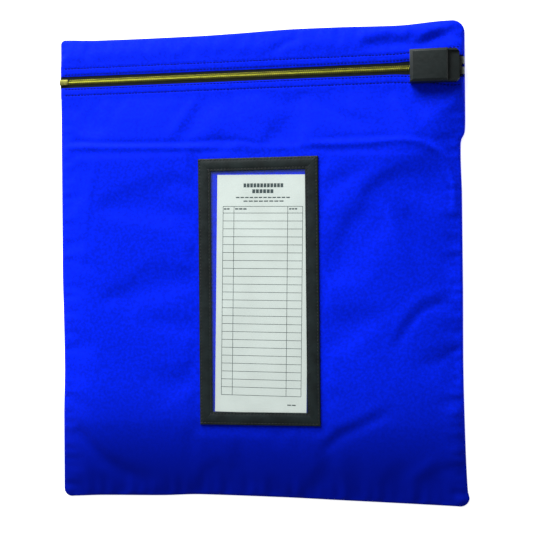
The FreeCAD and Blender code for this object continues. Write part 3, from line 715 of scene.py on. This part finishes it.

# Painted shade: the cloth's colour darkens towards the bottom of the bag, to 0.42 at y = -210 mm.
blue_nylon = finish_of("coated_nylon", NYLON_BLUE, 0.7, (0.16, 2.6),
                       [("X", WEAVE, 0.02), ("Y", WEAVE, 0.02), ("noise", 5, 0.12)],
                       specular=0.03, painted_shade=(-210, -95, 0.42))
binding_tape = finish_of("binding_tape", (0.02, 0.02, 0.022), 0.8, (0.2, 30), [("X", 1.1, 0.1)])
zipper_tape = finish_of("herringbone_tape", (0.006, 0.009, 0.008), 0.85, (0.25, 2),
                        [("DIAGONAL", 0.9, 0.12), ("X", 0.6, 0.08)], specular=0.15)
brass = finish_of("aged_brass", (0.36, 0.37, 0.045), 0.38, (0.22, 4), [("noise", 0.8, 0.03)], 1)
dark_brass = finish_of("slider_brass", (0.27, 0.27, 0.06), 0.45, (0.25, 5), [("noise", 1, 0.03)], 1)
steel = finish_of("steel_pin", (0.5, 0.5, 0.5), 0.3, (0.08, 3), metallic=1)
nickel = finish_of("nickel_plate", (0.15, 0.17, 0.16), 0.32, (0.08, 4), [("noise", 1.5, 0.02)], 1)
# Painted shade: near-black steel for the part of the hasp beside the lock, where the lock's shade
# falls.
lock_shade_steel = finish_of("lock_shade_steel", (0.03, 0.032, 0.03), 0.5, (0.2, 3),
                            [("noise", 1.5, 0.02)], metallic=0.6)
black_plastic = finish_of("moulded_plastic", (0.008, 0.0135, 0.0135), 0.5, (0.15, 8),
                          [("noise", 0.5, 0.03)], specular=0.3)
black_vinyl = finish_of("black_vinyl", (0.007, 0.013, 0.0135), 0.55, (0.3, 12),
                        [("noise", 1.2, 0.05), ("noise", 9, 0.25)], specular=0.22)
clear_vinyl = finish_of("clear_vinyl", (0.25, 0.36, 0.45), 0.14, (0.1, 20), [("noise", 18, 0.6)],
                        alpha=0.05)
card_stock = finish_of("card_stock", (0.74, 0.82, 0.76), 0.75, (0.03, 25), [("noise", 0.4, 0.01)],
                       specular=0.2)
ink = finish_of("form_ink", (0.045, 0.065, 0.058), 0.8, (0.15, 2), specular=0.2)
TWIST = [("DIAGONAL", 0.35, 0.05)]
blue_thread = finish_of("blue_thread", (0.001, 0.004, 0.10), 0.7, (0.2, 1), TWIST, specular=0.05)
black_thread = finish_of("black_thread", (0.012, 0.013, 0.014), 0.6, (0.2, 1), TWIST, specular=0.4)


# -------------------------- pieces of cloth

CLOTH_STEP = 2.0
HEM_ROUND, HEM_DIP = 1.2, 0.45


def lift_with_mouth(piece):
    """Bakes the placement of a strip above the chain into its mesh."""
    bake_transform(piece)


def hemmed(flat, chain_side, hem_y):
    """Gives a flat net of the front's cloth its height, and turns its hem beside the chain down."""
    x, y = flat[..., 0], flat[..., 1]
    hem = ease(0, HEM_ROUND, chain_side * (y - hem_y) - flare(x))
    return np.dstack([x, y, front_height(x, y) - HEM_DIP * (1 - hem)])


def front_cloth():
    x = np.linspace(left_x(FRONT_HIGH[1]), right_x(FRONT_HIGH[1]), 400)
    high = np.stack([x, FRONT_HIGH[1] - flare(x)], axis=1)
    left = side_edge("left", high=high[0, 1])
    right = side_edge("right", high=high[-1, 1])
    across = shares_of(2 * HALF_WIDTH, CLOTH_STEP, ROUNDED_EDGE, ROUNDED_EDGE)
    up = shares_of(FRONT_HIGH[1] - BOTTOM, CLOTH_STEP, ROUNDED_EDGE, STITCHED_EDGE)
    net = hemmed(patch(end_edge("bottom"), high, left, right, across, up), -1, FRONT_HIGH[1])
    piece = thick_sheet("front_cloth", net, CLOTH, blue_nylon)
    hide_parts("front_panel")
    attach(piece, "bag")


def header_cloth(side):
    """Half of the strip between the chain and the fold along the top."""
    ends = [left_x(HEADER_LOW[1]), 0.0] if side == "left" else [0.0, right_x(HEADER_LOW[1])]
    x = np.linspace(*ends, 250)
    low = np.stack([x, HEADER_LOW[1] + flare(x)], axis=1)
    whole = end_edge("top")
    middle = np.array([[0.0, top_y(0.0)]])
    upright = np.stack([np.zeros(40), np.linspace(HEADER_LOW[1], middle[0, 1], 40)], axis=1)
    if side == "left":
        high = np.concatenate([whole[whole[:, 0] < 0], middle])
        left, right, fine = side_edge("left", low=low[0, 1]), upright, (ROUNDED_EDGE, ())
    else:
        high = np.concatenate([middle, whole[whole[:, 0] > 0]])
        left, right, fine = upright, side_edge("right", low=low[-1, 1]), ((), ROUNDED_EDGE)
    across = shares_of(HALF_WIDTH, CLOTH_STEP, *fine)
    up = shares_of(FOLD_Y - HEADER_LOW[1], CLOTH_STEP / 1.5, STITCHED_EDGE, ROUNDED_EDGE)
    net = hemmed(patch(low, high, left, right, across, up), 1, HEADER_LOW[1])
    piece = thick_sheet(f"header_cloth_{side}", net, CLOTH, blue_nylon)
    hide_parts(f"header_{side}", "header_mid")
    lift_with_mouth(piece)


BACK_CLEAR = 0.02

# The roll of cloth inside the top fold: distance in from the fold, and height over the back cloth.
FOLD_ROLL = [(6.6, 0), (6.3, 0.3), (5.6, 0.95), (4.6, 1.55), (3.6, 1.85), (2.8, 1.8), (2.1, 1.5),
             (1.6, 1.0), (1.35, 0.45), (1.3, 0)]
FOLD_ROLL_THICK, FOLD_ROLL_SINK = 0.3, 0.03
FOLD_ROLL_REACH = MOUTH_HALF - 38
FOLD_ROLL_END, FOLD_ROLL_TAPER = 0.15, 15


def back_cloth():
    across = shares_of(2 * HALF_WIDTH, 4)
    up = shares_of(FOLD_Y - BOTTOM, 4)
    flat = patch(end_edge("bottom"), end_edge("top"), side_edge("left"), side_edge("right"),
                 across, up)
    x, y = flat[..., 0], flat[..., 1]
    wrinkle = np.maximum(0, undulation(x, y, 55, 12)) + np.maximum(0, -creases(x, y)) * 0.5
    height = CLOTH - BACK_CLEAR + wrinkle * ease(3, 30, edge_distance(x, y))
    piece = thick_sheet("back_cloth", np.dstack([x, y, height]), CLOTH - 2 * BACK_CLEAR, blue_nylon)
    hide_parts("back_panel")
    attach(piece, "bag")


def fold_roll():
    """Cloth rolled up inside the top fold."""
    x = np.linspace(-FOLD_ROLL_REACH, FOLD_ROLL_REACH, 120)[None]
    away, high = (np.array(FOLD_ROLL)[:, k, None] for k in (0, 1))
    fullness = (FOLD_ROLL_END
                + (1 - FOLD_ROLL_END) * ease(0, FOLD_ROLL_TAPER, FOLD_ROLL_REACH - np.abs(x)))
    z = CLOTH + FOLD_ROLL_THICK - FOLD_ROLL_SINK + high * fullness
    net = np.dstack([x + 0 * away, top_y(x) - away, z])
    piece = thick_sheet("fold_roll", net, FOLD_ROLL_THICK, blue_nylon)
    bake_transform(piece)


BINDING_WIDTH, BINDING_GAP, BINDING_THICK = 7.0, 4.0, 0.6
BINDING_TOP = CLOTH + 0.75


def seam_bindings():
    """Bands of tape over the raw edges of the seams inside the bag."""
    for side, along in (("left", 1), ("right", 1), ("bottom", 0)):
        node = "bottom_seam_binding" if side == "bottom" else f"side_seam_binding_{side}"
        low, high = (box[along] for box in node_box(node))
        at = np.linspace(low, high, 110)
        rows = []
        for away in (BINDING_GAP, BINDING_GAP + BINDING_WIDTH):
            place = [EDGES[side](at) + INWARD[side] * away, at][::1 if along else -1]
            rows.append(np.stack([*place, np.full_like(at, BINDING_TOP)], axis=1))
        rows = rows[::-1] if side == "left" else rows
        piece = thick_sheet(f"seam_binding_{side}", np.array(rows), BINDING_THICK, binding_tape)
        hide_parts(node)
        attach(piece, "bag")


# -------------------------- zipper

TAPE_THICK = TAPE_HIGH[2] - TAPE_LOW[2]
TAPE_GAP = ZIP_Y - TAPE_HIGH[1]
TAPE_MEET, TAPE_OVERLAP = 186, 0.1
# The tape's free edge hangs a little lower at its left end and at its right end.
DROOP_LEFT, DROOP_RIGHT, DROOP_RUN = 0.9, 0.5, 7


def tape_strip(name, low_x, high_x, side, nodes):
    """A length of zipper tape: side is -1 below the chain and 1 above it."""
    x = shares_of(high_x - low_x, 3) * (high_x - low_x) + low_x
    away = np.linspace(ZIP_Y - TAPE_HIGH[1], ZIP_Y - TAPE_LOW[1], 9)
    if side < 0:
        away = away[::-1]
    x, away = np.meshgrid(x, away)
    meet = ease(TAPE_MEET, TAPE_MEET + 5, x) * (away < TAPE_GAP + 0.01)
    away = away - (TAPE_GAP - TAPE_OVERLAP) * meet
    droop = (DROOP_LEFT * (1 - ease(0, DROOP_RUN, x + HALF_WIDTH - 3))
             + DROOP_RIGHT * (1 - ease(0, DROOP_RUN, HALF_WIDTH - 2 - x)))
    belly = 0.12 * ripple(x, 15, 21) * ease(4, 9, away)
    z = TAPE_HIGH[2] - 0.05 - droop * ease(3, 6, away) - np.maximum(belly, 0)
    piece = thick_sheet(name, np.dstack([x, ZIP_Y + side * away, z]), TAPE_THICK, zipper_tape)
    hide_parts(*nodes)
    return piece


def zipper_tapes():
    start, end = TAPE_LOW[0] + 0.6, TAPE_HIGH[0]
    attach(tape_strip("tape_lower", start, end, -1, ["zipper_tape_lower"]), "bag")
    for side, low, high in (("left", start, 0), ("right", 0, end)):
        nodes = [f"zipper_tape_upper_{side}", "zipper_tape_upper_mid"]
        lift_with_mouth(tape_strip(f"tape_upper_{side}", low, high, 1, nodes))


def along_zipper(kind, node, form, finish, lower, left, right):
    """Small forms in a row below the chain, and in two halves above it."""
    below = repeated(f"{kind}_lower", form, lower, finish)
    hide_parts(f"{node}_lower")
    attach(below, "bag")
    for side, places in (("left", left), ("right", right)):
        piece = repeated(f"{kind}_upper_{side}", form, places, finish)
        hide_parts(f"{node}_upper_{side}", f"{node}_upper_mid")
        lift_with_mouth(piece)


TOOTH_THICK = 0.72
TOOTH_PITCH = 2.0
TOOTH_REACH = node_box("zipper_teeth_upper_mid")


def tooth_form():
    """One tooth standing above the chain's centre line: a clenched root and a narrower head."""
    half = (TOOTH_REACH[1][2] - TOOTH_REACH[0][2]) / 2
    head, root = TOOTH_REACH[0][1] - ZIP_Y, TOOTH_REACH[1][1] - ZIP_Y
    profile = [(root, -half * 0.4), (root - 0.9, -half), (0.5, -half), (head, -half * 0.45),
               (head, half * 0.45), (0.5, half), (root - 0.9, half), (root, half * 0.4)]
    points, faces = prism(profile, -TOOTH_THICK / 2, TOOTH_THICK / 2)
    return bevelled_form(points, faces, 0.17)


def tooth_places(first, last, turn):
    """A tooth at every pitch from the first node's left end to the last one's right end."""
    start = node_box(first)[0][0] + TOOTH_THICK / 2
    end = node_box(last)[1][0]
    count = int(round((end - start) / TOOTH_PITCH))
    return [(start + n * TOOTH_PITCH, ZIP_Y, ZIP_Z, turn) for n in range(count + 1)
            if start + n * TOOTH_PITCH < end]


def zipper_teeth():
    lower = tooth_places("zipper_teeth_lower", "zipper_teeth_lower", math.pi)
    upper = tooth_places("zipper_teeth_upper_left", "zipper_teeth_upper_right", 0)
    along_zipper("teeth", "zipper_teeth", tooth_form(), brass, lower,
                 [p for p in upper if p[0] < 0.5], [p for p in upper if p[0] > 0.5])


# -------------------------- stitching

STITCH_PITCH, STITCH_LENGTH, STITCH_LIFT = 3.3, 2.5, 0.12


def zip_stitch_places(side, low, high):
    places = []
    for away in STITCH_ROWS:
        x = np.arange(low + STITCH_PITCH / 2, high, STITCH_PITCH)
        y = ZIP_Y + side * (away + flare(x))
        z = front_height(x, y) + STITCH_LIFT
        turn = np.arctan(np.gradient(y, x))
        places += list(zip(x, y, z, turn))
    return places


def zipper_stitching():
    along_zipper("stitches", "stitching_zipper", stitch_form(0.95, 0.5), blue_thread,
                 zip_stitch_places(-1, -STITCH_REACH, STITCH_REACH),
                 zip_stitch_places(1, -STITCH_REACH, 0), zip_stitch_places(1, 0, STITCH_REACH))


def window_stitching():
    places = []
    for inset in TRIM_STITCHES:
        left, right = WINDOW_LEFT + inset, WINDOW_RIGHT - inset
        low, high = WINDOW_LOW + inset, WINDOW_HIGH - inset
        z = TRIM_TOP + np.interp(inset, *np.array(TRIM_SECTION).T) + 0.06
        for x in np.arange(left, right, STITCH_PITCH):
            places += [(x, low, z, 0), (x, high, z, 0)]
        for y in np.arange(low + STITCH_PITCH, high, STITCH_PITCH):
            places += [(left, y, z, math.pi / 2), (right, y, z, math.pi / 2)]
    piece = repeated("stitches_window", stitch_form(0.7, 0.45), places, black_thread)
    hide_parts("stitching_window")
    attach(piece, "bag")


# -------------------------- card window

TUCK = PANE_LOW[0] - WINDOW_LEFT
TRIM_SECTION = [(0.0, -1.7), (0.15, -0.9), (0.6, -0.45), (1.3, -0.3), (2.0, -0.42), (2.7, -0.2),
                (4.2, 0.0), (6.3, 0.08), (8.5, 0.0), (10.0, -0.2), (10.7, -0.42), (11.4, -0.3),
                (12.1, -0.3), (12.55, -0.4), (12.7, -0.52)]
TRIM_STITCHES = (2.0, TRIM_WIDTH - 2.0)
TRIM_WAVE, TRIM_DIMPLE, MITRE_DIP, PANE_CLEAR = 0.10, 0.10, 0.03, 0.03


def window_trim(name, start, end, inward, seed, under):
    """One mitred strip of binding from the corner start to the corner end."""
    start, end, inward = (np.array(v, float) for v in (start, end, inward))
    length = float(np.linalg.norm(end - start))
    along = (end - start) / length
    lip, foot = PANE_HIGH[2] + PANE_CLEAR - TRIM_TOP, under - TRIM_TOP
    section = TRIM_SECTION + [(12.5, lip), (TUCK, lip), (TUCK - 0.3, foot), (0.4, foot)]
    shares = shares_of(length, STITCH_PITCH / 3, ROUNDED_EDGE, ROUNDED_EDGE)
    points = []
    for share in shares:
        for n, (inset, rise) in enumerate(section):
            run = 0.02 + inset + share * (length - 2 * inset - 0.04)
            flat = start + along * run + inward * inset
            z = TRIM_TOP + rise
            if n < len(TRIM_SECTION):
                from_mitre = min(run - inset, length - inset - run)
                z -= MITRE_DIP * math.exp(-(from_mitre / 0.7) ** 2) * (inset > 0.5)
                z += TRIM_WAVE * ripple(run, 34, seed) * math.sin(math.pi * inset / TRIM_WIDTH)
                dimple = math.exp(-(min(abs(inset - row) for row in TRIM_STITCHES) / 0.9) ** 2)
                z -= TRIM_DIMPLE * dimple * math.cos(2 * math.pi * run / STITCH_PITCH)
                z = max(z, under)
            points.append((*flat, z))
    piece = mesh_piece(f"trim_{name}", points, ring_faces(len(shares), len(section)), black_vinyl)
    bm = bmesh.new()
    bm.from_mesh(piece.data)
    bmesh.ops.recalc_face_normals(bm, faces=bm.faces)
    bm.to_mesh(piece.data)
    bm.free()
    piece.data.set_sharp_from_angle(angle=math.radians(60))
    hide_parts(f"window_trim_{name}")
    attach(piece, "bag")


def window_trims():
    low_left, low_right = (WINDOW_LEFT, WINDOW_LOW), (WINDOW_RIGHT, WINDOW_LOW)
    high_left, high_right = (WINDOW_LEFT, WINDOW_HIGH), (WINDOW_RIGHT, WINDOW_HIGH)
    on_cloth, over_card = PLATEAU + 0.05, CARD_HIGH[2] + 0.2
    window_trim("bottom", low_left, low_right, (0, 1), 31, on_cloth)
    window_trim("right", low_right, high_right, (-1, 0), 32, on_cloth)
    window_trim("top", high_left, high_right, (0, -1), 33, over_card)
    window_trim("left", low_left, high_left, (1, 0), 34, on_cloth)


PANE_THICK, PANE_WAVE = 0.3, 0.16


def window_pane():
    x, y = np.meshgrid(np.linspace(PANE_LOW[0], PANE_HIGH[0], 56),
                       np.linspace(PANE_LOW[1], PANE_HIGH[1], 110))
    edge = np.minimum.reduce([x - PANE_LOW[0], PANE_HIGH[0] - x,
                              y - PANE_LOW[1], PANE_HIGH[1] - y])
    wave = undulation(x, y, 34, 41) * PANE_WAVE * ease(8, 16, edge)
    net = np.dstack([x, y, PANE_HIGH[2] - 0.02 + wave])
    piece = thick_sheet("clear_pane", net, PANE_THICK, clear_vinyl)
    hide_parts("window_pane")
    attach(piece, "bag")


# -------------------------- card

CARD_TURN = math.radians(-1.1)
CARD_WIDTH, CARD_HEIGHT = 88.9, 228.6
INK_THICK, INK_CLEAR = 0.028, 0.002
TABLE_TOP, TABLE_HEAD, TABLE_ROW, TABLE_ROWS = 30.3, 6.4, 7.62, 23
TABLE_LEFT, TABLE_RIGHT = 5.8, 83.3
TABLE_COLUMNS = (TABLE_LEFT, 16.5, 68.9, TABLE_RIGHT)
LINE_WIDE = 0.45

# Print in place of the form's wording: (left, right, top, bottom, mark's length, gap after it).
PRINTED_LINES = [
    (25.9, 64.5, 8.4, 12.2, 2.6, 0.7), (34.5, 55.0, 14.1, 17.8, 2.6, 0.7),
    (18.6, 71.0, 21.4, 22.5, 3.6, 1.0), (26.0, 65.0, 24.9, 26.0, 4.2, 1.0),
    (6.9, 12.3, 32.3, 33.6, 2.4, 0.6), (17.8, 29.0, 32.3, 33.6, 3.2, 0.7),
    (70.5, 78.2, 32.3, 33.6, 2.2, 0.6), (70.5, 78.5, 220.0, 221.0, 3.6, 0.8)]


def card_print():
    """The card's form, with plain marks in place of lettering, placed from its top left corner."""
    bars = []
    for left, right, high, low, mark, gap in PRINTED_LINES:
        count = max(1, round((right - left + gap) / (mark + gap)))
        pitch = (right - left + gap) / count
        bars += [(left + n * pitch, left + (n + 1) * pitch - gap, high, low) for n in range(count)]
    bottom = TABLE_TOP + TABLE_HEAD + TABLE_ROWS * TABLE_ROW
    for n in range(TABLE_ROWS + 1):
        y = TABLE_TOP + TABLE_HEAD + n * TABLE_ROW
        bars.append((TABLE_LEFT, TABLE_RIGHT, y, y + LINE_WIDE))
    bars.append((TABLE_LEFT, TABLE_RIGHT, TABLE_TOP, TABLE_TOP + LINE_WIDE))
    for x in TABLE_COLUMNS:
        bars.append((x, x + LINE_WIDE, TABLE_TOP, bottom))
    centre = (CARD_LOW + CARD_HIGH) / 2
    foot = CARD_HIGH[2] + INK_CLEAR
    c, s = math.cos(CARD_TURN), math.sin(CARD_TURN)
    points, faces = [], []
    for left, right, high, low in bars:
        first = len(points)
        for z in (foot, foot + INK_THICK):
            for x, y in ((left, low), (right, low), (right, high), (left, high)):
                dx, dy = x - CARD_WIDTH / 2, CARD_HEIGHT / 2 - y
                points.append((centre[0] + c * dx - s * dy, centre[1] + s * dx + c * dy, z))
        faces += [tuple(first + i for i in face) for face in ring_faces(2, 4)]
    piece = mesh_piece("card_print", points, faces, ink, smooth=False)
    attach(piece, "card")


# -------------------------- hardware

CLOSE = 0.1 * MM
# CLAW_BRIGHT is how far from the hasp's end the nickel colour reaches; the rest has painted shade.
CLAW_BEND, CLAW_BRIGHT = 2.0, 2.2
HASP_HIGH = node_box("end_hasp")[1]
LOCK_LEAN, LOCK_NOSE = 0.92, 1.8


def claw_bends(bm):
    """Rounds the outer corners over which the hasp's claws are bent."""
    far = max(v.co.x for v in bm.verts) - CLOSE
    ends = (min(v.co.z for v in bm.verts), max(v.co.z for v in bm.verts))
    bends = []
    for edge in bm.edges:
        a, b = (v.co for v in edge.verts)
        across = abs(a.y - b.y) > 1 * MM and abs(a.z - b.z) < CLOSE
        if across and min(a.x, b.x) > far and min(abs(a.z - z) for z in ends) < CLOSE:
            bends.append(edge)
    round_off(bm, bends, CLAW_BEND, 6)


def lock_draft(bm):
    """Leans the housing's upper edges inwards, so that its top face is smaller than its foot."""
    top = max(v.co.z for v in bm.verts) - CLOSE / 2
    left = min(v.co.x for v in bm.verts if v.co.z > top)
    for corner in bm.verts:
        if corner.co.z > top:
            corner.co.y = ZIP_Y * MM + (corner.co.y - ZIP_Y * MM) * LOCK_LEAN
            if corner.co.x < left + CLOSE:
                corner.co.x += LOCK_NOSE * MM


def hardware():
    refined("lock_cover", "slider", black_plastic, 0.7, shaped=lock_draft)
    hasp = refined("end_hasp", "bag", nickel, 0.4, shaped=claw_bends)
    # Painted shade: the hasp left of its claws is coloured near black; only the claws keep the
    # nickel colour.
    hasp.data.materials.append(lock_shade_steel)
    for face in hasp.data.polygons:
        face.material_index = int(face.center.x < (HASP_HIGH[0] - CLAW_BRIGHT) * MM)
    refined("zipper_end_stop", "bag", dark_brass, 0.4)
    refined("zip_slider", "slider", dark_brass, 0.35)
    refined("zipper_top_stops", "bag", brass, 0.25)
    for node, finish in (("card", card_stock), ("lock_base", black_plastic), ("lock_rivets", steel),
                         ("slider_pin", steel)):
        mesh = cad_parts[node].data
        mesh.materials.clear()
        mesh.materials.append(finish)


simulate_slack()
front_cloth()
header_cloth("left")
header_cloth("right")
back_cloth()
fold_roll()
seam_bindings()
zipper_tapes()
zipper_teeth()
zipper_stitching()
window_trims()
window_pane()
window_stitching()
card_print()
hardware()


# -------------------------- floor, light and camera

FLOOR_HALF, FLOOR_LEVEL, FLOOR_GLOW = 3000, -0.3, 0.75
WHITE = (1, 1, 1, 1)
KEY_PLACE, KEY_TARGET = (-0.85, 1.62, 0.86), (-0.02, 0.0, 0)
KEY_SIZE, KEY_POWER = 1.6, 86
WORLD_LIGHT = 0.28


def floor():
    points = [(x * FLOOR_HALF, y * FLOOR_HALF, FLOOR_LEVEL)
              for x, y in ((-1, -1), (1, -1), (1, 1), (-1, 1))]
    material = bpy.data.materials.new("pale_floor")
    material.use_nodes = True
    set_inputs(material.node_tree.nodes["Principled BSDF"], Base_Color=(0.9, 0.9, 0.9, 1),
               Roughness=0.9, Emission_Color=WHITE, Emission_Strength=FLOOR_GLOW)
    mesh_piece("floor", points, [(0, 1, 2, 3)], material)


def lights():
    """One soft light from behind and above the left, and even light all round."""
    data = bpy.data.lights.new("key", "AREA")
    data.shape = "DISK"
    data.size = KEY_SIZE
    data.energy = KEY_POWER
    light = placed("key", data)
    light.location = KEY_PLACE
    ahead = Vector(KEY_TARGET) - Vector(KEY_PLACE)
    light.rotation_euler = ahead.to_track_quat("-Z", "Y").to_euler()
    world = bpy.data.worlds.new("studio")
    world.use_nodes = True
    set_inputs(world.node_tree.nodes["Background"], Color=WHITE, Strength=WORLD_LIGHT)
    bpy.context.scene.world = world
    bpy.context.scene.view_settings.view_transform = "Standard"


CAMERA_PLACE = (0.1689, -0.0106, 0.9671)
CAMERA_TARGET = (0.0080, -0.0017, 0.0)
CAMERA_ROLL = math.radians(0.54)
CAMERA_LENS = 68.0


def camera():
    data = bpy.data.cameras.new("camera")
    data.lens = CAMERA_LENS
    data.sensor_width = 36
    view = placed("camera", data)
    ahead = (Vector(CAMERA_TARGET) - Vector(CAMERA_PLACE)).normalized()
    right = ahead.cross(Vector((0, 1, 0))).normalized()
    up = right.cross(ahead)
    turned_up = up * math.cos(CAMERA_ROLL) + right * math.sin(CAMERA_ROLL)
    turned_right = ahead.cross(turned_up)
    axes = Matrix((turned_right, turned_up, -ahead)).transposed().to_4x4()
    view.matrix_world = Matrix.Translation(Vector(CAMERA_PLACE)) @ axes
    bpy.context.scene.camera = view


floor()
lights()
camera()

bpy.context.view_layer.update()
